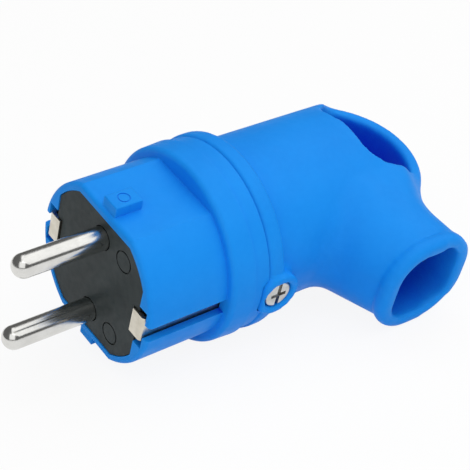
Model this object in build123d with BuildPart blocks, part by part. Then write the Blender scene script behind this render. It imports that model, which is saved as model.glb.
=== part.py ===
from build123d import *
from math import asin, atan2, cos, hypot, radians, sin, sqrt
import os

os.makedirs("parts", exist_ok=True)

# An angled two-pin plug with side earth contacts, lying on its round middle and its cable outlet.
# Three directions carry every sketch: back runs from the engagement face to the rear along +X,
# out runs towards the cable outlet, and up runs from the lower pin to the upper pin.
# The origin is the middle of the engagement face, between the pins.

# Contact pins
pin_diameter = 4.8
pin_length = 19.0
pin_spacing = 19.0
pin_tip_flat = 0.1
pin_shank_diameter = 4.4
pin_collar_diameter = 8.8
pin_collar_thickness = 2.2
pin_tail_width = 5.4
pin_tail_depth = 6.0
pin_tail_length = 13.4

# Front shell
shell_radius = 18.1
shell_half_width = 16.0
shell_round_wall = 1.7
shell_flat_wall = 1.9
shell_front_round = 0.9
collar_front = 17.9
collar_length = 8.7
collar_band = 5.1
collar_step = 2.15
collar_taper = 0.25
collar_wall = 2.55
collar_round = 1.1
seam_gap = 0.2
seam_round = 0.45
earth_slot_width = 3.5
earth_channel_half_width = 4.6
rib_width = 4.0
rib_start = 0.65
rib_length = 5.95
rib_height = 2.3
rib_round = 0.3
rib_mark_diameter = 2.6
rib_mark_line = 0.3
rib_mark_depth = 0.15

# Contact insert
insert_recess = 0.2
flange_step = 0.3
flange_thickness = 2.4
ring_mark_radius = 2.2
ring_mark_line = 0.35
ring_mark_depth = 0.3
ring_mark_out = 7.2
ring_mark_up = 9.6
core_pocket_width = 8.0
core_pocket_length = 6.0
core_pocket_depth = 14.0
core_pocket_out = 6.5

# Earth bracket
earth_sheet = 0.8
earth_inset = 1.8
earth_stand_off = 2.2
earth_width = 5.8
earth_tab_length = 3.55
earth_tab_proud = 0.2
earth_bend = 0.9
earth_ear_length = 7.0
earth_ear_middle = -5.5
earth_ear_height = 12.6
earth_collar_diameter = 6.0
earth_collar_length = 2.4

# Back plate with its posts, nut block and cord clamp
plate_thickness = 3.8
plate_gap = 0.4
plate_screw_angle = radians(29.6)
post_diameter = 4.6
post_out = 7.2
post_height = 16.6
nut_block_edge = 0.8
nut_block_thickness = 4.6
nut_block_half_width = 4.4
nut_block_cover = 1.35
nut_width = 5.5
nut_thickness = 2.2
nut_depth = 1.4
clamp_bar_width = 5.0
clamp_bar_thickness = 4.0
clamp_arch_radius = 9.0
clamp_arch_depth = 1.2
moulded_corner = 1.0

# Small screws and their clamp plates
terminal_thread = 3.9
terminal_head_diameter = 6.0
terminal_head_height = 2.0
terminal_offset = 5.6
terminal_room = 0.63
clamp_plate_side = 6.0
clamp_plate_thickness = 0.9
small_thread = 2.9
small_head_diameter = 4.6
small_head_height = 1.8
small_screw_depth = 10.0
driver_slot = 0.9
driver_slot_depth = 1.0

# Hood, with places along its barrel counted from the seam
rim_length = 3.6
rim_ledge = 2.5
rim_round = 0.8
barrel_taper = 0.3
barrel_overrun = 3.9
hood_wall = 3.0
elbow_radius = 5.5

# Cable outlet
outlet_offset = 32.1
outlet_neck_half = 10.6
outlet_neck_corner = 8.8
outlet_neck_reach = 28.7
outlet_sweep = 5.9
outlet_root_inset = 1.75
outlet_root_trim = 0.6
outlet_root_flat = 1.0
outlet_root_rear_corner = 8.5
outlet_wall_along = 2.85
outlet_wall_up = 2.5
outlet_bore_corner = 5.4
outlet_bore_length = 9.1
duct_sweep = 12.4
duct_root_reach = 8.0
duct_root_half = 8.6
lip_proud = 0.65
lip_length = 2.9
lip_round = 1.5
lip_back_round = 0.5
mouth_round = 0.5

# Finger loop
loop_past_outlet = 0.3
loop_shift = 0.35
loop_inset = 0.05
loop_half_height = 8.4
loop_thickness = 3.1
loop_wall_step = 0.6
loop_outlet_side = 10.7
loop_corner_outlet = 6.8
loop_corner_far = 6.6
loop_edge_round = 1.2
loop_web_round = 8.0
loop_root_land = 1.05

# Hood screw and its boss
screw_offset = 2.5
screw_head_diameter = 6.0
screw_head_height = 2.0
screw_head_inset = 0.4
screw_head_round = 0.5
screw_cross_width = 3.6
screw_thread = 3.5
screw_tip = 1.0
boss_radius = 4.85
boss_proud = 0.45
boss_overlap = 1.1
boss_round = 0.3
boss_corner = 0.6

# Clearances, and a tolerance for picking edges by their place
fit = 0.15
slide = 0.3
overshoot = 1.0
near = 0.01

# Places along the plug axis
flange_seat = collar_front + flange_step
flange_back = flange_seat + flange_thickness
bridge_back = flange_back + earth_sheet
plate_back = flange_back + plate_thickness
terminal_place = plate_back + terminal_offset
post_top = plate_back + post_height
bar_top = post_top + clamp_bar_thickness
collar_crease = collar_front + collar_band
collar_back = collar_front + collar_length
spigot_front = bridge_back + fit
hood_front = collar_back + seam_gap
rim_back = hood_front + rim_length
screw_place = hood_front + screw_offset
boss_front = collar_back - boss_overlap
nut_block_top = screw_place + nut_width / 2 + nut_block_cover
outlet_place = hood_front + outlet_offset
outlet_root_place = outlet_place - outlet_sweep
duct_root_place = outlet_place - duct_sweep
loop_centre = outlet_place + loop_past_outlet
barrel_end = loop_centre + barrel_overrun
loop_wall_place = loop_centre - loop_wall_step
cavity_end = loop_wall_place - hood_wall

# Sizes across the plug axis
pin_up = pin_spacing / 2
tail_side = pin_tail_depth / 2
insert_radius = shell_radius - shell_round_wall
insert_half_width = shell_half_width - shell_flat_wall
earth_reach = shell_radius - earth_inset
insert_half_reach = earth_reach - earth_stand_off
collar_radius = shell_radius + collar_step
collar_front_radius = collar_radius - collar_taper
shell_bore_radius = collar_radius - collar_wall
flange_radius = shell_bore_radius - slide
spigot_radius = shell_bore_radius - slide
rim_radius = collar_radius
barrel_radius_front = rim_radius - rim_ledge
barrel_radius_back = barrel_radius_front - barrel_taper
terminal_up = pin_up + terminal_head_diameter / 2
terminal_out = tail_side + clamp_plate_thickness + terminal_head_height
hood_bore_radius = hypot(terminal_up, terminal_out) + terminal_room
loop_radius = barrel_radius_back - loop_inset + loop_shift
loop_root_round = barrel_radius_back - loop_half_height - loop_root_land
outlet_root_half = barrel_radius_front - outlet_root_inset
outlet_root_along = outlet_root_half - outlet_root_trim
outlet_root_corner = outlet_root_half - outlet_root_flat
earth_channel_depth = earth_reach + slide
earth_tab_inner = earth_reach - earth_tab_length
ear_up = earth_width / 2
plate_radius = hood_bore_radius - plate_gap
plate_screw_circle = plate_radius - small_head_diameter / 2 - fit
clamp_bar_half = sqrt(plate_radius**2 - (post_out + clamp_bar_width / 2) ** 2)
post_up = clamp_bar_half - post_diameter / 2
nut_block_outer = plate_radius - nut_block_edge
nut_block_inner = nut_block_outer - nut_block_thickness
nut_inner = nut_block_inner + nut_depth
screw_end = nut_inner - screw_tip
boss_base = (hood_bore_radius + spigot_radius) / 2
boss_reach = rim_radius + boss_proud
screw_head_reach = boss_reach - screw_head_inset
screw_seat = screw_head_reach - screw_head_height
lip_half = outlet_neck_half + lip_proud
lip_corner = outlet_neck_corner + lip_proud
lip_reach = outlet_neck_reach + lip_length
outlet_bore_along = outlet_neck_half - outlet_wall_along
outlet_bore_up = outlet_neck_half - outlet_wall_up
outlet_bore_reach = lip_reach - outlet_bore_length

# Pairs of places on section planes, as up and out
pin_places = ((pin_up, 0), (-pin_up, 0))
ring_mark_places = ((ring_mark_up, ring_mark_out), (-ring_mark_up, ring_mark_out))
core_pocket_places = ((0, core_pocket_out), (0, -core_pocket_out))
plate_screw_up = plate_screw_circle * sin(plate_screw_angle)
plate_screw_out = -plate_screw_circle * cos(plate_screw_angle)
plate_screw_places = ((plate_screw_up, plate_screw_out), (-plate_screw_up, plate_screw_out))
post_places = ((post_up, post_out), (-post_up, post_out))

# The plug lies with its collar, the hood's rim and the bead of its outlet lip on one level surface.
bead_reach = lip_reach - lip_round
bead_height = lip_half - lip_round
bead_distance = hypot(bead_reach, bead_height)
rest_roll = asin((collar_radius - lip_round) / bead_distance) - atan2(bead_height, bead_reach)

back = Vector(1, 0, 0)
up = Vector(0, -sin(rest_roll), cos(rest_roll))
out = Vector(0, -cos(rest_roll), -sin(rest_roll))
plug_axis = Axis((0, 0, 0), back)
outlet_axis = Axis((0, 0, 0), out)


def section(distance):
    """Plane across the plug axis: local x is up, local y is out."""
    return Plane(origin=back * distance, x_dir=up, z_dir=back)


def plan(height):
    """Plane along the plug axis and the outlet: local x is back, local y is out."""
    return Plane(origin=up * height, x_dir=back, z_dir=-up)


def flank(reach):
    """Plane across the outlet: local x is back, local y is up."""
    return Plane(origin=out * reach, x_dir=back, z_dir=out)


def insert_outline(gap):
    """Round insert with four flats, grown by a gap."""
    Circle(insert_radius + gap)
    Rectangle(2 * (insert_half_width + gap), 2 * (insert_half_reach + gap), mode=Mode.INTERSECT)


def boss_outline(gap):
    """Round screw boss cut straight at its front, grown by a gap."""
    radius = boss_radius + gap
    length = 2 * (radius + overshoot)
    with Locations((screw_place, 0)):
        Circle(radius)
    with Locations((boss_front - gap + length / 2, 0)):
        Rectangle(length, length, mode=Mode.INTERSECT)
    fillet(vertices().group_by(Axis.X)[0], boss_corner + gap)


def outlet_outline(place, half_along, half_up, front_corner, rear_corner):
    """Rectangle across the outlet, with its own rounding at the front and at the rear."""
    with Locations((place, 0)):
        Rectangle(2 * half_along, 2 * half_up)
    fillet(vertices().group_by(Axis.X)[-1], rear_corner)
    fillet(vertices().group_by(Axis.X)[0], front_corner)


def bore_outline(mode):
    """Bore of the cable outlet."""
    with Locations((outlet_place, 0)):
        RectangleRounded(2 * outlet_bore_along, 2 * outlet_bore_up, outlet_bore_corner, mode=mode)


def at_corner(vertex, x, y):
    """True for a sketch corner at a given place."""
    return abs(vertex.X - x) < near and abs(vertex.Y - y) < near


def on_strap(edge):
    """True for an edge along the strap's round outside, on the outlet's side."""
    middle = edge.center()
    radius = hypot(middle.X - loop_centre, middle.dot(out) - loop_shift)
    return middle.dot(out) > 0 and abs(radius - loop_radius) < loop_edge_round


def on_barrel(edge):
    """True for an edge along the hood barrel's round outside."""
    middle = edge.center()
    radius = hypot(middle.dot(out), middle.dot(up))
    inside = rim_back < middle.X < barrel_end
    return inside and abs(radius - barrel_radius_front) < overshoot


# Front shell: a flat-sided sleeve with a collar, earth slots and guide ribs
with BuildPart() as front_shell:
    with BuildSketch(section(0)):
        Circle(shell_radius)
        Rectangle(2 * shell_half_width, 2 * (shell_radius + overshoot), mode=Mode.INTERSECT)
    extrude(amount=collar_front + collar_round)
    fillet(front_shell.faces().sort_by(plug_axis)[0].edges(), shell_front_round)
    with BuildSketch(plan(0)) as collar_profile:
        with BuildLine():
            Polyline(
                (collar_front, 0),
                (collar_front, collar_front_radius),
                (collar_crease, collar_radius),
                (collar_back, collar_radius),
                (collar_back, 0),
                close=True,
            )
        make_face()
        corners = collar_profile.vertices()
        fillet(corners.filter_by(lambda v: at_corner(v, collar_front, collar_front_radius)), collar_round)
        fillet(corners.filter_by(lambda v: at_corner(v, collar_back, collar_radius)), seam_round)
    revolve(axis=plug_axis)
    for side in (1, -1):
        with BuildSketch(plan(side * shell_half_width)):
            with Locations((rib_start + rib_length / 2, 0)):
                Rectangle(rib_length, rib_width)
        extrude(amount=-side * rib_height)
        rib_top = front_shell.faces().sort_by(Axis((0, 0, 0), up * side))[-1]
        fillet(rib_top.edges(), rib_round)
    with BuildSketch(plan(shell_half_width + rib_height)):
        with Locations((rib_start + rib_length / 2, 0)):
            Circle(rib_mark_diameter / 2)
            Circle(rib_mark_diameter / 2 - rib_mark_line, mode=Mode.SUBTRACT)
    extrude(amount=rib_mark_depth, mode=Mode.SUBTRACT)
    with BuildSketch(section(0)):
        insert_outline(fit)
        Rectangle(2 * earth_channel_half_width, 2 * earth_channel_depth)
    extrude(amount=flange_seat, mode=Mode.SUBTRACT)
    with BuildSketch(section(0)):
        Rectangle(earth_slot_width, 2 * (shell_radius + overshoot))
    extrude(amount=collar_front, mode=Mode.SUBTRACT)
    with BuildSketch(section(flange_seat)):
        Circle(shell_bore_radius)
    extrude(amount=collar_back - flange_seat, mode=Mode.SUBTRACT)
    with BuildSketch(flank(0)):
        boss_outline(slide)
    extrude(amount=collar_radius + overshoot, mode=Mode.SUBTRACT)
front_shell.part.label = "front_shell"
export_step(front_shell.part, "parts/front_shell.step")

# Contact insert: carries the pins and the earth bracket inside the front shell
with BuildPart() as contact_insert:
    with BuildSketch(section(insert_recess)):
        insert_outline(0)
    extrude(amount=flange_seat - insert_recess)
    with BuildSketch(section(flange_seat)):
        Circle(flange_radius)
        notch_out = insert_half_reach + flange_radius
        with Locations((0, notch_out), (0, -notch_out)):
            Rectangle(2 * earth_channel_half_width, 2 * flange_radius, mode=Mode.SUBTRACT)
    extrude(amount=flange_thickness)
    with BuildSketch(section(insert_recess)):
        with Locations((0, insert_half_reach), (0, -insert_half_reach)):
            Rectangle(earth_width + 2 * slide, 2 * (insert_half_reach - earth_tab_inner + slide))
    extrude(amount=earth_sheet, mode=Mode.SUBTRACT)
    with BuildSketch(section(insert_recess)):
        with Locations(*ring_mark_places):
            Circle(ring_mark_radius + ring_mark_line / 2)
            Circle(ring_mark_radius - ring_mark_line / 2, mode=Mode.SUBTRACT)
    extrude(amount=ring_mark_depth, mode=Mode.SUBTRACT)
    with BuildSketch(section(0)):
        with Locations(*pin_places):
            Circle(pin_diameter / 2 + fit)
    extrude(amount=flange_back, mode=Mode.SUBTRACT)
    with BuildSketch(section(flange_back - pin_collar_thickness)):
        with Locations(*pin_places):
            Circle(pin_collar_diameter / 2 + fit)
    extrude(amount=pin_collar_thickness, mode=Mode.SUBTRACT)
    with BuildSketch(section(flange_back - core_pocket_depth)):
        with Locations(*core_pocket_places):
            RectangleRounded(core_pocket_width, core_pocket_length, moulded_corner)
    extrude(amount=core_pocket_depth, mode=Mode.SUBTRACT)
    with BuildSketch(section(flange_back - small_screw_depth)):
        with Locations(*plate_screw_places):
            Circle(small_thread / 2 + fit)
    extrude(amount=small_screw_depth, mode=Mode.SUBTRACT)
contact_insert.part.label = "contact_insert"
export_step(contact_insert.part, "parts/contact_insert.step")

# Pins: round-nosed, with a slimmer shank in the insert, a trapped collar and a square terminal tail
for pin_name, pin_place in zip(("upper_pin", "lower_pin"), pin_places):
    with BuildPart() as pin:
        with BuildSketch(section(-pin_length)):
            with Locations(pin_place):
                Circle(pin_diameter / 2)
        extrude(amount=pin_length + insert_recess)
        nose = pin.edges().filter_by(GeomType.CIRCLE).sort_by(plug_axis)[0]
        fillet(nose, (pin_diameter - pin_tip_flat) / 2)
        with BuildSketch(section(insert_recess)):
            with Locations(pin_place):
                Circle(pin_shank_diameter / 2)
        extrude(amount=flange_back - insert_recess)
        with BuildSketch(section(flange_back - pin_collar_thickness)):
            with Locations(pin_place):
                Circle(pin_collar_diameter / 2)
        extrude(amount=pin_collar_thickness)
        with BuildSketch(section(flange_back)):
            with Locations(pin_place):
                Rectangle(pin_tail_width, pin_tail_depth)
        extrude(amount=pin_tail_length)
        with BuildSketch(flank(0)):
            with Locations((terminal_place, pin_place[0])):
                Circle(terminal_thread / 2 + fit)
        extrude(amount=pin_tail_depth, both=True, mode=Mode.SUBTRACT)
    pin.part.label = pin_name
    export_step(pin.part, f"parts/{pin_name}.step")

# Clamp plates of the pin terminals
terminal_places = ((terminal_place, pin_up), (terminal_place, -pin_up))
clamp_seat = -tail_side - clamp_plate_thickness
with BuildPart() as pin_clamp_plates:
    with BuildSketch(flank(clamp_seat)):
        with Locations(*terminal_places):
            Rectangle(clamp_plate_side, clamp_plate_side)
            Circle(terminal_thread / 2 + fit, mode=Mode.SUBTRACT)
    extrude(amount=clamp_plate_thickness)
pin_clamp_plates.part.label = "pin_clamp_plates"
export_step(pin_clamp_plates.part, "parts/pin_clamp_plates.step")

# Screws of the pin terminals, driven towards the outlet side
with BuildPart() as pin_terminal_screws:
    with BuildSketch(flank(clamp_seat)):
        with Locations(*terminal_places):
            Circle(terminal_head_diameter / 2)
    extrude(amount=-terminal_head_height)
    with BuildSketch(flank(clamp_seat)):
        with Locations(*terminal_places):
            Circle(terminal_thread / 2)
    extrude(amount=clamp_plate_thickness + pin_tail_depth)
    with BuildSketch(flank(clamp_seat - terminal_head_height)):
        with Locations(*terminal_places):
            Rectangle(terminal_head_diameter + overshoot, driver_slot)
    extrude(amount=driver_slot_depth, mode=Mode.SUBTRACT)
pin_terminal_screws.part.label = "pin_terminal_screws"
export_step(pin_terminal_screws.part, "parts/pin_terminal_screws.step")

# Earth bracket: one folded strip with two side contacts, a bridge and a terminal ear
tab_front = -earth_tab_proud
tab_back = tab_front + earth_sheet
arm_inner = earth_reach - earth_sheet
ear_place = (terminal_place, earth_ear_middle)
with BuildPart() as earth_bracket:
    with BuildSketch(plan(0)) as strip:
        with BuildLine() as half_strip:
            Polyline(
                (bridge_back, 0),
                (bridge_back, earth_reach),
                (tab_front, earth_reach),
                (tab_front, earth_tab_inner),
                (tab_back, earth_tab_inner),
                (tab_back, arm_inner),
                (flange_back, arm_inner),
                (flange_back, 0),
            )
            mirror(about=Plane.XZ)
        make_face()
        bends = strip.vertices().filter_by(lambda v: abs(abs(v.Y) - earth_reach) < near)
        fillet(bends, earth_bend)
    extrude(amount=earth_width / 2, both=True)
    with BuildSketch(plan(ear_up)):
        with Locations((flange_back + earth_ear_height / 2, earth_ear_middle)):
            Rectangle(earth_ear_height, earth_ear_length)
    extrude(amount=earth_sheet)
    with BuildSketch(plan(ear_up)):
        with Locations(ear_place):
            Circle(earth_collar_diameter / 2)
    extrude(amount=-earth_collar_length)
    with BuildSketch(plan(ear_up + earth_collar_length)):
        with Locations(ear_place):
            Circle(terminal_thread / 2 + fit)
    extrude(amount=earth_collar_length + earth_sheet, mode=Mode.SUBTRACT)
earth_bracket.part.label = "earth_bracket"
export_step(earth_bracket.part, "parts/earth_bracket.step")

# Clamp plate of the earth terminal
earth_plate_up = ear_up - earth_sheet
with BuildPart() as earth_clamp_plate:
    with BuildSketch(plan(earth_plate_up)):
        with Locations(ear_place):
            Rectangle(clamp_plate_side, clamp_plate_side)
            Circle(terminal_thread / 2 + fit, mode=Mode.SUBTRACT)
    extrude(amount=clamp_plate_thickness)
earth_clamp_plate.part.label = "earth_clamp_plate"
export_step(earth_clamp_plate.part, "parts/earth_clamp_plate.step")

# Screw of the earth terminal
earth_head_up = earth_plate_up - clamp_plate_thickness
with BuildPart() as earth_terminal_screw:
    with BuildSketch(plan(earth_head_up)):
        with Locations(ear_place):
            Circle(terminal_head_diameter / 2)
    extrude(amount=terminal_head_height)
    with BuildSketch(plan(earth_head_up)):
        with Locations(ear_place):
            Circle(terminal_thread / 2)
    extrude(amount=-clamp_plate_thickness - earth_sheet - earth_collar_length)
    with BuildSketch(plan(earth_head_up - terminal_head_height)):
        with Locations(ear_place):
            Rectangle(driver_slot, terminal_head_diameter + overshoot)
    extrude(amount=-driver_slot_depth, mode=Mode.SUBTRACT)
earth_terminal_screw.part.label = "earth_terminal_screw"
export_step(earth_terminal_screw.part, "parts/earth_terminal_screw.step")

# Back plate: traps the pin collars and the earth bridge, and carries posts and nut block
with BuildPart() as back_plate:
    with BuildSketch(section(flange_back)):
        Circle(plate_radius)
    extrude(amount=plate_thickness)
    with BuildSketch(section(plate_back)):
        with Locations(*post_places):
            Circle(post_diameter / 2)
    extrude(amount=post_height)
    with BuildSketch(section(plate_back)):
        with Locations((0, (nut_block_inner + nut_block_outer) / 2)):
            Rectangle(2 * nut_block_half_width, nut_block_thickness)
    extrude(amount=nut_block_top - plate_back)
    with BuildSketch(section(flange_back)):
        Rectangle(earth_width + 2 * slide, 2 * plate_radius)
    extrude(amount=earth_sheet, mode=Mode.SUBTRACT)
    with BuildSketch(section(flange_back)):
        with Locations(*pin_places):
            Rectangle(pin_tail_width + 2 * slide, pin_tail_depth + 2 * slide)
        with Locations((ear_up - earth_sheet / 2, earth_ear_middle)):
            Rectangle(earth_sheet + 2 * slide, earth_ear_length + 2 * slide)
        with Locations(*plate_screw_places):
            Circle(small_thread / 2 + fit)
    extrude(amount=plate_thickness, mode=Mode.SUBTRACT)
    with BuildSketch(section(post_top - small_screw_depth)):
        with Locations(*post_places):
            Circle(small_thread / 2 + fit)
    extrude(amount=small_screw_depth, mode=Mode.SUBTRACT)
    with BuildSketch(flank(nut_block_inner)):
        with Locations((screw_place, 0)):
            Circle(screw_thread / 2 + fit)
    extrude(amount=nut_block_thickness, mode=Mode.SUBTRACT)
    with BuildSketch(flank(nut_inner - fit)):
        pocket_front = screw_place - nut_width / 2 - fit
        with Locations(((pocket_front + nut_block_top) / 2, 0)):
            Rectangle(nut_block_top - pocket_front, nut_width + 2 * fit)
    extrude(amount=nut_thickness + 2 * fit, mode=Mode.SUBTRACT)
back_plate.part.label = "back_plate"
export_step(back_plate.part, "parts/back_plate.step")

# Screws that hold the back plate on the insert
with BuildPart() as back_plate_screws:
    with BuildSketch(section(plate_back)):
        with Locations(*plate_screw_places):
            Circle(small_head_diameter / 2)
    extrude(amount=small_head_height)
    with BuildSketch(section(flange_back - small_screw_depth)):
        with Locations(*plate_screw_places):
            Circle(small_thread / 2)
    extrude(amount=small_screw_depth + plate_thickness)
    with BuildSketch(section(plate_back + small_head_height)):
        with Locations(*plate_screw_places):
            Rectangle(driver_slot, small_head_diameter + overshoot)
    extrude(amount=-driver_slot_depth, mode=Mode.SUBTRACT)
back_plate_screws.part.label = "back_plate_screws"
export_step(back_plate_screws.part, "parts/back_plate_screws.step")

# Cord clamp bar on the posts, arched on its underside
with BuildPart() as cord_clamp_bar:
    with BuildSketch(section(post_top)):
        with Locations((0, post_out)):
            RectangleRounded(2 * clamp_bar_half, clamp_bar_width, moulded_corner)
    extrude(amount=clamp_bar_thickness)
    with BuildSketch(flank(post_out)):
        with Locations((post_top - clamp_arch_radius + clamp_arch_depth, 0)):
            Circle(clamp_arch_radius)
    extrude(amount=clamp_bar_width, both=True, mode=Mode.SUBTRACT)
    with BuildSketch(section(post_top)):
        with Locations(*post_places):
            Circle(small_thread / 2 + fit)
    extrude(amount=clamp_bar_thickness, mode=Mode.SUBTRACT)
cord_clamp_bar.part.label = "cord_clamp_bar"
export_step(cord_clamp_bar.part, "parts/cord_clamp_bar.step")

# Screws of the cord clamp
with BuildPart() as cord_clamp_screws:
    with BuildSketch(section(bar_top)):
        with Locations(*post_places):
            Circle(small_head_diameter / 2)
    extrude(amount=small_head_height)
    with BuildSketch(section(post_top - small_screw_depth)):
        with Locations(*post_places):
            Circle(small_thread / 2)
    extrude(amount=small_screw_depth + clamp_bar_thickness)
    with BuildSketch(section(bar_top + small_head_height)):
        with Locations(*post_places):
            Rectangle(driver_slot, small_head_diameter + overshoot)
    extrude(amount=-driver_slot_depth, mode=Mode.SUBTRACT)
cord_clamp_screws.part.label = "cord_clamp_screws"
export_step(cord_clamp_screws.part, "parts/cord_clamp_screws.step")

# Square nut for the hood screw
with BuildPart() as hood_nut:
    with BuildSketch(flank(nut_inner)):
        with Locations((screw_place, 0)):
            Rectangle(nut_width, nut_width)
            Circle(screw_thread / 2 + fit, mode=Mode.SUBTRACT)
    extrude(amount=nut_thickness)
hood_nut.part.label = "hood_nut"
export_step(hood_nut.part, "parts/hood_nut.step")

# Hood screw with a crossed and slotted head
with BuildPart() as hood_screw:
    with BuildSketch(flank(screw_seat)):
        with Locations((screw_place, 0)):
            Circle(screw_head_diameter / 2)
    extrude(amount=screw_head_height)
    fillet(hood_screw.faces().sort_by(outlet_axis)[-1].edges(), screw_head_round)
    with BuildSketch(flank(screw_end)):
        with Locations((screw_place, 0)):
            Circle(screw_thread / 2)
    extrude(amount=screw_seat - screw_end)
    with BuildSketch(flank(screw_head_reach)):
        with Locations((screw_place, 0)):
            Rectangle(driver_slot, screw_head_diameter + overshoot)
            Rectangle(screw_cross_width, driver_slot)
    extrude(amount=-driver_slot_depth, mode=Mode.SUBTRACT)
hood_screw.part.label = "hood_screw"
export_step(hood_screw.part, "parts/hood_screw.step")

# Root of the finger loop: hollow curves that lead the barrel's end down to the strap's height
with BuildPart() as loop_root:
    with BuildSketch(flank(0)) as loop_side:
        with Locations((loop_centre + loop_radius / 2, 0)):
            Rectangle(loop_radius, 2 * loop_half_height)
        with Locations(((loop_centre + barrel_end) / 2, 0)):
            Rectangle(barrel_end - loop_centre, 2 * barrel_radius_back)
        corners = loop_side.vertices()
        upper_step = corners.filter_by(lambda v: at_corner(v, barrel_end, loop_half_height))
        lower_step = corners.filter_by(lambda v: at_corner(v, barrel_end, -loop_half_height))
        fillet(upper_step + lower_step, loop_root_round)
    extrude(amount=loop_radius, both=True)
    with BuildSketch(plan(0)):
        with Locations((loop_centre, loop_shift)):
            Circle(loop_radius - loop_edge_round)
    extrude(amount=barrel_radius_back, both=True, mode=Mode.INTERSECT)
    with BuildSketch(section(loop_centre)):
        Circle(barrel_radius_back)
    extrude(amount=loop_radius, mode=Mode.INTERSECT)

# Bead round the mouth of the cable outlet
with BuildPart() as lip:
    with BuildSketch(flank(outlet_neck_reach)):
        outlet_outline(outlet_place, lip_half, lip_half, lip_corner, lip_corner)
        bore_outline(Mode.SUBTRACT)
    extrude(amount=lip_length)
    fillet(lip.faces().sort_by(outlet_axis)[-1].outer_wire().edges(), lip_round)
    fillet(lip.faces().sort_by(outlet_axis)[-1].inner_wires()[0].edges(), mouth_round)
    fillet(lip.faces().sort_by(outlet_axis)[0].outer_wire().edges(), lip_back_round)

# Boss that carries the hood screw
with BuildPart() as boss:
    with BuildSketch(flank(boss_base)):
        boss_outline(0)
    extrude(amount=boss_reach - boss_base)
    fillet(boss.faces().sort_by(outlet_axis)[-1].edges(), boss_round)

# Hood: elbow with a barrel, a tapered cable outlet, a finger loop and a screw boss
with BuildPart() as hood:
    # Strap of the finger loop: half a disc, trimmed to the barrel on the side away from the outlet
    with BuildSketch(plan(0)):
        with Locations((loop_centre, loop_shift)):
            Circle(loop_radius)
        with Locations((loop_centre - loop_radius, loop_shift)):
            Rectangle(2 * loop_radius, 2 * (loop_radius + overshoot), mode=Mode.SUBTRACT)
    extrude(amount=loop_half_height, both=True)
    fillet(hood.edges().filter_by(GeomType.CIRCLE), loop_edge_round)
    with BuildSketch(section(loop_centre)):
        Circle(barrel_radius_back)
        with Locations((0, loop_radius)):
            Rectangle(2 * barrel_radius_back, 2 * loop_radius)
    extrude(amount=loop_radius, mode=Mode.INTERSECT)

    # Cable outlet, blended into the strap
    root_corners = (outlet_root_corner, outlet_root_rear_corner)
    neck_corners = (outlet_neck_corner, outlet_neck_corner)
    with BuildSketch(flank(0)):
        outlet_outline(outlet_root_place, outlet_root_along, outlet_root_half, *root_corners)
    with BuildSketch(flank(outlet_neck_reach)):
        outlet_outline(outlet_place, outlet_neck_half, outlet_neck_half, *neck_corners)
    loft()
    fillet(hood.edges().filter_by(GeomType.BSPLINE).filter_by(on_strap), loop_web_round)

    # Barrel with its rim and spigot, blended into the outlet
    with BuildSketch(plan(0)) as barrel_profile:
        with BuildLine():
            Polyline(
                (spigot_front, 0),
                (spigot_front, spigot_radius),
                (hood_front, spigot_radius),
                (hood_front, rim_radius),
                (rim_back, rim_radius),
                (rim_back, barrel_radius_front),
                (barrel_end, barrel_radius_back),
                (barrel_end, 0),
                close=True,
            )
        make_face()
        corners = barrel_profile.vertices()
        rim_top = corners.filter_by(lambda v: at_corner(v, rim_back, rim_radius))
        rim_foot = corners.filter_by(lambda v: at_corner(v, rim_back, barrel_radius_front))
        fillet(rim_top + rim_foot, rim_round)
        corners = barrel_profile.vertices()
        fillet(corners.filter_by(lambda v: at_corner(v, hood_front, rim_radius)), seam_round)
    revolve(axis=plug_axis)
    fillet(hood.edges().filter_by(GeomType.BSPLINE).filter_by(on_barrel), elbow_radius)

    # The barrel's end follows the strap's round outside, away from the outlet
    with BuildSketch(plan(0)):
        with Locations((loop_centre + loop_radius / 2, -loop_radius / 2)):
            Rectangle(loop_radius, loop_radius + overshoot)
        with Locations((loop_centre, loop_shift)):
            Circle(loop_radius, mode=Mode.SUBTRACT)
    extrude(amount=rim_radius, both=True, mode=Mode.SUBTRACT)
    add(loop_root.part)

    # Finger hole
    with BuildSketch(plan(0)) as loop_hole:
        with Locations((loop_centre, loop_shift)):
            Circle(loop_radius - loop_thickness)
        with Locations((loop_wall_place + loop_radius, loop_outlet_side - loop_radius)):
            Rectangle(2 * loop_radius, 2 * loop_radius, mode=Mode.INTERSECT)
        fillet(loop_hole.vertices().group_by(Axis.X)[0].sort_by(Axis.Y)[0], loop_corner_far)
        fillet(loop_hole.vertices().group_by(Axis.X)[0].sort_by(Axis.Y)[-1], loop_corner_outlet)
    extrude(amount=rim_radius, both=True, mode=Mode.SUBTRACT)

    # Bead, screw boss, wiring space, cable duct and screw seat
    add(lip.part)
    add(boss.part)
    with BuildSketch(section(spigot_front)):
        Circle(hood_bore_radius)
    extrude(amount=cavity_end - spigot_front, mode=Mode.SUBTRACT)
    with BuildSketch(flank(outlet_bore_reach)):
        bore_outline(Mode.ADD)
    extrude(amount=outlet_neck_reach - outlet_bore_reach, mode=Mode.SUBTRACT)
    with BuildSketch(flank(duct_root_reach)):
        with Locations((duct_root_place, 0)):
            RectangleRounded(2 * duct_root_half, 2 * duct_root_half, outlet_bore_corner)
    with BuildSketch(flank(outlet_bore_reach)):
        bore_outline(Mode.ADD)
    loft(mode=Mode.SUBTRACT)
    with BuildSketch(flank(screw_seat)):
        with Locations((screw_place, 0)):
            Circle(screw_head_diameter / 2 + fit)
    extrude(amount=boss_reach - screw_seat, mode=Mode.SUBTRACT)
    with BuildSketch(flank(0)):
        with Locations((screw_place, 0)):
            Circle(screw_thread / 2 + fit)
    extrude(amount=screw_seat, mode=Mode.SUBTRACT)
hood.part.label = "hood"
export_step(hood.part, "parts/hood.step")
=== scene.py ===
from math import cos, exp, hypot, radians, sin

import bmesh
import bpy
from mathutils import Matrix, Vector


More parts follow.
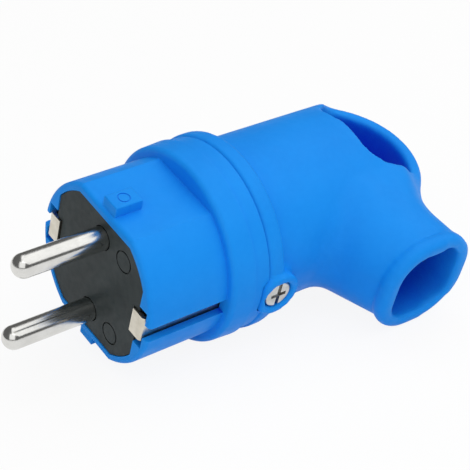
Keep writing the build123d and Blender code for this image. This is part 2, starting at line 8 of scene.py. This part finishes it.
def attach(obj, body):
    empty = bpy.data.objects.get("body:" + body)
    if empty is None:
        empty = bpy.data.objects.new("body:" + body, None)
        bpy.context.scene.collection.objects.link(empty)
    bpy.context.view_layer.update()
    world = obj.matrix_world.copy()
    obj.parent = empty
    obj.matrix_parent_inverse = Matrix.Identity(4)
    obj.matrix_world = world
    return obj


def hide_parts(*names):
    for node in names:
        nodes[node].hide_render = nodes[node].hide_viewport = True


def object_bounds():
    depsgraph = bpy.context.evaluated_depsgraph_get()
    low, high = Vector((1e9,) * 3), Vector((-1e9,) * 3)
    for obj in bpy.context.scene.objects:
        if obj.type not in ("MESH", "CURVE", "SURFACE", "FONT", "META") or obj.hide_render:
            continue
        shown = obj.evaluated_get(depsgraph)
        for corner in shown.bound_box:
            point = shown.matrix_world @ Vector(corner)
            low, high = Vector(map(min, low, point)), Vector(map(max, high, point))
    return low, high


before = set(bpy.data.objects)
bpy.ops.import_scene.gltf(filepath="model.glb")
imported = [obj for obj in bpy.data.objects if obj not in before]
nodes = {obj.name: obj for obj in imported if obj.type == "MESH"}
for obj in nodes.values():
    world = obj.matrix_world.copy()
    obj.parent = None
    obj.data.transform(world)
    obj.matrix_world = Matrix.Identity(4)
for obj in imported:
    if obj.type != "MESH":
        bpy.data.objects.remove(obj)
cad_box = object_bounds()

MM = 0.001

# The plug lies rolled about its long axis, on its collar and on the lip of the cable outlet
ROLL = radians(18.394)

# Pull loop and cable outlet, as distances back, out and up in millimetres
LOOP_FRONT = 58.0
LOOP_HOLE_BACK = 61.0
LOOP_FAR_SIDE = -2.5
LOOP_FLAT_HEIGHT = 6.5
MOUTH_START = 30.3

# Collar of the front moulding and rim of the hood behind it
COLLAR_OUTER = 19.75 * MM
COLLAR_CREASE = 23.0 * MM
RIM_FRONT = 27.2 * MM
RIM_INNER = 18.2 * MM
NEAR = 0.02 * MM

# Numbers of the colour sockets on a mix node
FIRST_COLOUR, SECOND_COLOUR, MIXED_COLOUR = 6, 7, 2


def linked(name, data):
    """Object in the scene that carries a mesh, a light or a camera."""
    made = bpy.data.objects.new(name, data)
    bpy.context.scene.collection.objects.link(made)
    return made


def stand_in(name, mesh, node):
    """Piece that is shown in place of a CAD node."""
    made = linked(name, mesh)
    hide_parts(node)
    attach(made, "root")
    return made


def rolled(place):
    """Point of the lying plug, from its distances back, out and up."""
    back, out, up = place
    return (back, -out * cos(ROLL) - up * sin(ROLL), up * cos(ROLL) - out * sin(ROLL))


def natural(place):
    """Distances back, out and up of a point of the lying plug."""
    back, left, high = place
    return (back, -left * cos(ROLL) - high * sin(ROLL), high * cos(ROLL) - left * sin(ROLL))


def moulded(name, node, voxel, passes):
    """Copy of a CAD node whose edges and creases are eased like those of a rubber moulding."""
    mesh = nodes[node].data.copy()
    mesh.transform(Matrix.Scale(1 / MM, 4))
    rough = linked(name + "_rough", mesh)
    skin = rough.modifiers.new("skin", "REMESH")
    skin.mode = "VOXEL"
    skin.voxel_size = voxel
    smooth = rough.modifiers.new("smooth", "SMOOTH")
    smooth.factor = 0.5
    smooth.iterations = passes
    shown = rough.evaluated_get(bpy.context.evaluated_depsgraph_get())
    eased = bpy.data.meshes.new_from_object(shown)
    bpy.data.objects.remove(rough)
    eased.transform(Matrix.Scale(MM, 4))
    eased.shade_smooth()
    return stand_in(name, eased, node)


def on_loop(back, out, up):
    """Whether a point is on the edges of the pull loop or at the far end of its hole."""
    on_edge = back > LOOP_FRONT and abs(up) > LOOP_FLAT_HEIGHT
    return on_edge and (back > LOOP_HOLE_BACK or out < LOOP_FAR_SIDE)


def on_mouth(back, out, up):
    """Whether a point is on the lip of the cable outlet."""
    return out > MOUTH_START


def ease(item, region, passes):
    """Rounds the edges of a piece further in one region."""
    form = bmesh.new()
    form.from_mesh(item.data)
    near = [vertex for vertex in form.verts if region(*natural(vertex.co / MM))]
    axes = {"use_axis_x": True, "use_axis_y": True, "use_axis_z": True}
    for _ in range(passes):
        bmesh.ops.smooth_vert(form, verts=near, factor=0.5, **axes)
    form.to_mesh(item.data)
    form.free()


def swell(item, centre, outwards, rise, reach):
    """Raises a piece softly round a point, or hollows it out, all in millimetres."""
    centre = Vector(rolled(centre)) * MM
    outwards = Vector(rolled(outwards)).normalized()
    fade_end = 3
    near = []
    for vertex in item.data.vertices:
        far = (vertex.co - centre).length / (reach * MM)
        if far < fade_end and vertex.normal.dot(outwards) > 0:
            near.append((vertex, far))
    for vertex, far in near:
        vertex.co += outwards * rise * MM * exp(-far * far)


def close_seam(item, step):
    """Draws the front rim of the hood forward, so that it meets the collar before it."""
    fade = 3 * step
    for vertex in item.data.vertices:
        share = min(1.0, (RIM_FRONT - vertex.co.x) / fade)
        if share > 0 and hypot(vertex.co.y, vertex.co.z) > RIM_INNER:
            vertex.co.x -= step * share


def on_collar(vertex, front):
    """Whether a vertex lies on the collar's outer face, behind a place along the plug."""
    return vertex.co.x > front - NEAR and hypot(vertex.co.y, vertex.co.z) > COLLAR_OUTER


def stepped(name, node, width, depth):
    """Copy of a CAD node whose collar steps in behind its crease, so that the hood's rim stands proud."""
    mesh = nodes[node].data.copy()
    normals = [corner.vector.copy() for corner in mesh.corner_normals]
    form = bmesh.new()
    form.from_mesh(mesh)
    kept = form.loops.layers.float_vector.new("kept_normal")
    loops = (loop for face in form.faces for loop in face.loops)
    for loop, normal in zip(loops, normals):
        loop[kept] = normal

    # Cut the collar just behind the crease and draw in all that lies beyond the cut
    behind = COLLAR_CREASE + width
    ring = [vertex for vertex in form.verts if on_collar(vertex, COLLAR_CREASE)]
    for part in (*form.edges, *form.faces):
        if all(on_collar(vertex, COLLAR_CREASE) for vertex in part.verts):
            ring.append(part)
    bmesh.ops.bisect_plane(form, geom=ring, plane_co=(behind, 0, 0), plane_no=(1, 0, 0))
    for vertex in form.verts:
        if on_collar(vertex, behind):
            shrink = 1 - depth / hypot(vertex.co.y, vertex.co.z)
            vertex.co.y *= shrink
            vertex.co.z *= shrink

    # The step is shaded flat, and the rest keeps the normals of the CAD surface
    form.normal_update()
    for face in form.faces:
        between = COLLAR_CREASE < face.calc_center_median().x < behind
        if between and all(on_collar(vertex, COLLAR_CREASE) for vertex in face.verts):
            for loop in face.loops:
                loop[kept] = face.normal
    form.to_mesh(mesh)
    form.free()
    stored = mesh.attributes["kept_normal"]
    mesh.normals_split_custom_set([corner.vector for corner in stored.data])
    mesh.attributes.remove(mesh.attributes["kept_normal"])
    return stand_in(name, mesh, node)


class Finish:
    """Node material round one Principled shader, with textures placed in object space."""

    def __init__(self, name):
        self.material = bpy.data.materials.new(name)
        self.material.use_nodes = True
        self.tree = self.material.node_tree
        self.shader = self.tree.nodes["Principled BSDF"]
        self.place = self.node("ShaderNodeTexCoord").outputs["Object"]

    def node(self, kind, **settings):
        """New node of a kind, with its settings."""
        made = self.tree.nodes.new(kind)
        for key, value in settings.items():
            setattr(made, key, value)
        return made

    def link(self, source, target):
        """Joins two sockets."""
        self.tree.links.new(source, target)

    def constant(self, **values):
        """Sets inputs of the shader, named with underscores for spaces."""
        for key, value in values.items():
            self.shader.inputs[key.replace("_", " ")].default_value = value

    def stretched(self, scale):
        """Object space squeezed along some axes, for drawn or turned surfaces."""
        mapping = self.node("ShaderNodeMapping")
        mapping.inputs["Scale"].default_value = scale
        self.link(self.place, mapping.inputs["Vector"])
        return mapping.outputs["Vector"]

    def noise(self, size, detail=3.0, place=None):
        """Noise with features of about the given size in metres."""
        made = self.node("ShaderNodeTexNoise")
        made.inputs["Scale"].default_value = 1 / size
        made.inputs["Detail"].default_value = detail
        self.link(place or self.place, made.inputs["Vector"])
        return made.outputs["Fac"]

    def remap(self, source, low, high, to_low, to_high):
        """Value drawn from one range into another and held at its ends."""
        made = self.node("ShaderNodeMapRange")
        ends = {"From Min": low, "From Max": high, "To Min": to_low, "To Max": to_high}
        for key, value in ends.items():
            made.inputs[key].default_value = value
        self.link(source, made.inputs["Value"])
        return made.outputs["Result"]

    def clouds(self, size):
        """Soft patches that go from 0 to 1."""
        return self.remap(self.noise(size), 0.3, 0.7, 0.0, 1.0)

    def edges(self, radius):
        """1 along edges, where a rounded normal leaves the true one."""
        soft = self.node("ShaderNodeBevel", samples=6)
        soft.inputs["Radius"].default_value = radius
        true = self.node("ShaderNodeNewGeometry").outputs["Normal"]
        dot = self.node("ShaderNodeVectorMath", operation="DOT_PRODUCT")
        self.link(soft.outputs["Normal"], dot.inputs[0])
        self.link(true, dot.inputs[1])
        return self.remap(dot.outputs["Value"], 1.0, 0.75, 0.0, 1.0)

    def hollows(self, reach):
        """1 deep inside narrow hollows, 0 on open surfaces; the mask for painted shade."""
        made = self.node("ShaderNodeAmbientOcclusion", samples=8, only_local=True)
        made.inputs["Distance"].default_value = reach
        return self.remap(made.outputs["AO"], 0.52, 0.17, 0.0, 1.0)

    def times(self, a, b):
        """Product of two sockets."""
        made = self.node("ShaderNodeMath", operation="MULTIPLY")
        self.link(a, made.inputs[0])
        self.link(b, made.inputs[1])
        return made.outputs["Value"]

    def blend(self, factor, first, second):
        """Colour that goes from the first to the second, each a colour or a socket."""
        made = self.node("ShaderNodeMix", data_type="RGBA")
        self.link(factor, made.inputs["Factor"])
        for number, value in ((FIRST_COLOUR, first), (SECOND_COLOUR, second)):
            if isinstance(value, tuple):
                made.inputs[number].default_value = (*value, 1.0)
            else:
                self.link(value, made.inputs[number])
        return made.outputs[MIXED_COLOUR]

    def colour(self, source):
        """Colour of the surface."""
        self.link(source, self.shader.inputs["Base Color"])

    def roughness(self, source, smoothest, roughest):
        """Roughness that follows a noise between two levels."""
        level = self.remap(source, 0.3, 0.7, smoothest, roughest)
        self.link(level, self.shader.inputs["Roughness"])

    def bump(self, *heights):
        """Bumps laid over each other, as pairs of a height socket and its depth in metres."""
        below = None
        for height, depth in heights:
            made = self.node("ShaderNodeBump")
            made.inputs["Distance"].default_value = depth
            self.link(height, made.inputs["Height"])
            if below:
                self.link(below, made.inputs["Normal"])
            below = made.outputs["Normal"]
        self.link(below, self.shader.inputs["Normal"])


def blue_rubber():
    """Matt blue rubber with a fine grain, paler along edges, with painted shade that turns it deep navy
    inside hollows.
    """
    made = Finish("blue_rubber")
    speck = made.remap(made.noise(1.1 * MM, 4.0), 0.35, 0.75, 0.0, 1.0)
    body = made.blend(made.clouds(14 * MM), (0.006, 0.245, 0.80), (0.008, 0.275, 0.86))
    body = made.blend(made.remap(speck, 0.0, 1.0, 0.0, 0.25), body, (0.012, 0.30, 0.88))
    worn = made.times(made.edges(0.6 * MM), made.remap(speck, 0.0, 1.0, 0.15, 0.5))
    body = made.blend(worn, body, (0.035, 0.36, 0.92))
    # Painted shade: deep navy colour where ambient occlusion finds the outlet's mouth, the loop's hole
    # and other hollows
    made.colour(made.blend(made.hollows(40 * MM), body, (0.001, 0.008, 0.62)))
    made.roughness(made.noise(2.5 * MM, 4.0), 0.44, 0.56)
    grain = made.noise(0.28 * MM, 2.0)
    wave = made.noise(3.5 * MM, 2.0)
    made.bump((grain, 0.012 * MM), (wave, 0.03 * MM))
    made.constant(IOR=1.5, Specular_IOR_Level=0.10)
    return made.material


def dark_plastic():
    """Dark moulded plastic, greyer along edges, with painted shade that turns it black inside hollows."""
    made = Finish("dark_plastic")
    body = made.blend(made.clouds(6 * MM), (0.021, 0.029, 0.031), (0.031, 0.042, 0.044))
    patches = made.remap(made.noise(0.9 * MM, 4.0), 0.4, 0.7, 0.1, 0.6)
    worn = made.times(made.edges(0.3 * MM), patches)
    body = made.blend(worn, body, (0.10, 0.11, 0.11))
    # Painted shade: near black where ambient occlusion finds the gaps round the pins and along the
    # shell's rim
    made.colour(made.blend(made.hollows(1.5 * MM), body, (0.003, 0.004, 0.005)))
    made.roughness(made.noise(1.6 * MM, 4.0), 0.36, 0.52)
    made.bump((made.noise(0.22 * MM, 2.0), 0.010 * MM))
    made.constant(IOR=1.5, Specular_IOR_Level=0.12)
    return made.material


def nickel_plate():
    """Bright plated metal with turning marks and faint scuffs along the pins."""
    made = Finish("nickel_plate")
    turned = made.noise(0.10 * MM, 3.0, made.stretched((1.0, 0.05, 0.05)))
    body = made.blend(made.clouds(3.0 * MM), (0.66, 0.655, 0.63), (0.75, 0.745, 0.72))
    drawn_out = made.noise(0.35 * MM, 5.0, made.stretched((0.2, 1.0, 1.0)))
    scuff = made.remap(drawn_out, 0.58, 0.75, 0.0, 0.5)
    made.colour(made.blend(scuff, body, (0.58, 0.575, 0.55)))
    made.roughness(made.noise(0.8 * MM, 4.0, made.stretched((0.3, 1.0, 1.0))), 0.15, 0.23)
    made.bump((turned, 0.0015 * MM))
    made.constant(Metallic=1.0)
    return made.material


def earth_strip():
    """Satin metal strip with drawing marks along it and brighter edges."""
    made = Finish("earth_strip")
    drawn = made.noise(0.16 * MM, 3.0, made.stretched((0.08, 1.0, 1.0)))
    cloud = made.clouds(2.2 * MM)
    body = made.blend(cloud, (0.60, 0.56, 0.47), (0.74, 0.70, 0.61))
    worn = made.times(made.edges(0.25 * MM), cloud)
    made.colour(made.blend(worn, body, (0.84, 0.81, 0.74)))
    made.roughness(drawn, 0.28, 0.42)
    made.bump((drawn, 0.006 * MM))
    made.constant(Metallic=1.0)
    return made.material


def zinc_steel():
    """Grey plated steel of the screws and the nut, bright along edges."""
    made = Finish("zinc_steel")
    body = made.blend(made.clouds(1.4 * MM), (0.50, 0.50, 0.48), (0.66, 0.66, 0.65))
    patches = made.remap(made.noise(0.5 * MM, 4.0), 0.35, 0.65, 0.0, 1.0)
    worn = made.times(made.edges(0.25 * MM), patches)
    made.colour(made.blend(worn, body, (0.80, 0.80, 0.78)))
    made.roughness(made.noise(0.3 * MM, 4.0), 0.26, 0.42)
    made.bump((made.noise(0.2 * MM, 3.0), 0.008 * MM))
    made.constant(Metallic=1.0)
    return made.material


def dress(finish, *items):
    """Gives pieces one finish."""
    for item in items:
        item.data.materials.clear()
        item.data.materials.append(finish)


# Rubber mouldings: eased edges, a waist behind the outlet's lip and a full web beside the loop's hole
hood = moulded("hood_moulding", "hood", voxel=0.43, passes=8)
ease(hood, on_loop, passes=22)
ease(hood, on_mouth, passes=4)
swell(hood, centre=(66.3, 20.0, 9.6), outwards=(0.6, 0.0, 0.8), rise=-1.1, reach=6.0)
swell(hood, centre=(66.0, 10.8, 10.5), outwards=(0.3, 0.0, 1.0), rise=1.3, reach=4.8)
close_seam(hood, step=0.15 * MM)
front = stepped("front_moulding", "front_shell", width=0.25 * MM, depth=0.42 * MM)

dress(blue_rubber(), hood, front)
dress(dark_plastic(), nodes["contact_insert"], nodes["back_plate"], nodes["cord_clamp_bar"])
dress(
    nickel_plate(),
    nodes["upper_pin"],
    nodes["lower_pin"],
    nodes["pin_clamp_plates"],
    nodes["earth_clamp_plate"],
)
dress(earth_strip(), nodes["earth_bracket"])
dress(
    zinc_steel(),
    nodes["pin_terminal_screws"],
    nodes["earth_terminal_screw"],
    nodes["back_plate_screws"],
    nodes["cord_clamp_screws"],
    nodes["hood_screw"],
    nodes["hood_nut"],
)


def floor_material():
    """White floor: bright to the camera and to mirrors, with the object's shadow kept."""
    made = bpy.data.materials.new("floor")
    made.use_nodes = True
    tree = made.node_tree
    tree.nodes.clear()
    path = tree.nodes.new("ShaderNodeLightPath")
    seen = tree.nodes.new("ShaderNodeMath")
    seen.operation = "MAXIMUM"
    tree.links.new(path.outputs["Is Camera Ray"], seen.inputs[0])
    tree.links.new(path.outputs["Is Glossy Ray"], seen.inputs[1])
    share = tree.nodes.new("ShaderNodeMath")
    share.operation = "MULTIPLY"
    share.inputs[1].default_value = 0.9
    tree.links.new(seen.outputs[0], share.inputs[0])
    matt = tree.nodes.new("ShaderNodeBsdfDiffuse")
    matt.inputs["Color"].default_value = (0.9, 0.9, 0.9, 1)
    glow = tree.nodes.new("ShaderNodeEmission")
    glow.inputs["Strength"].default_value = 1.0
    both = tree.nodes.new("ShaderNodeMixShader")
    tree.links.new(share.outputs[0], both.inputs["Fac"])
    tree.links.new(matt.outputs[0], both.inputs[1])
    tree.links.new(glow.outputs[0], both.inputs[2])
    out = tree.nodes.new("ShaderNodeOutputMaterial")
    tree.links.new(both.outputs[0], out.inputs["Surface"])
    return made


def studio_world(light, mirrored, seen):
    """White surroundings, with a strength each for light, for mirrors and for the camera."""
    world = bpy.data.worlds.new("studio")
    bpy.context.scene.world = world
    world.use_nodes = True
    tree = world.node_tree
    path = tree.nodes.new("ShaderNodeLightPath")
    mirror = tree.nodes.new("ShaderNodeMix")
    tree.links.new(path.outputs["Is Glossy Ray"], mirror.inputs["Factor"])
    mirror.inputs["A"].default_value = light
    mirror.inputs["B"].default_value = mirrored
    view = tree.nodes.new("ShaderNodeMix")
    tree.links.new(path.outputs["Is Camera Ray"], view.inputs["Factor"])
    tree.links.new(mirror.outputs["Result"], view.inputs["A"])
    view.inputs["B"].default_value = seen
    background = tree.nodes["Background"]
    background.inputs["Color"].default_value = (1, 1, 1, 1)
    tree.links.new(view.outputs["Result"], background.inputs["Strength"])


def softbox(name, place, target, size, power):
    """Square soft light that faces a point."""
    light = bpy.data.lights.new(name, "AREA")
    light.size = size
    light.energy = power
    lamp = linked(name, light)
    lamp.location = place
    aim = linked(name + "_aim", None)
    aim.location = target
    track = lamp.constraints.new("TRACK_TO")
    track.target = aim
    track.track_axis = "TRACK_NEGATIVE_Z"
    track.up_axis = "UP_Y"


bpy.ops.mesh.primitive_plane_add(size=6, location=(0.04, 0, cad_box[0].z))
floor = bpy.context.object
floor.name = "floor"
floor.data.materials.append(floor_material())

studio_world(light=0.40, mirrored=0.14, seen=1.0)
middle = (0.03, -0.01, 0.0)
softbox("key", place=(0.20, -0.12, 0.46), target=middle, size=0.85, power=2.5)
softbox("fill", place=(-0.36, -0.36, 0.34), target=middle, size=0.60, power=1.15)

lens = bpy.data.cameras.new("camera")
lens.sensor_width = 36
lens.lens = 116.55
lens.clip_start = 0.01
camera = linked("camera", lens)
camera.location = (-0.13350, -0.21424, 0.14167)
camera.rotation_euler = (radians(62.010), radians(0.298), radians(-38.146))
bpy.context.scene.camera = camera
bpy.context.scene.view_settings.view_transform = "Standard"
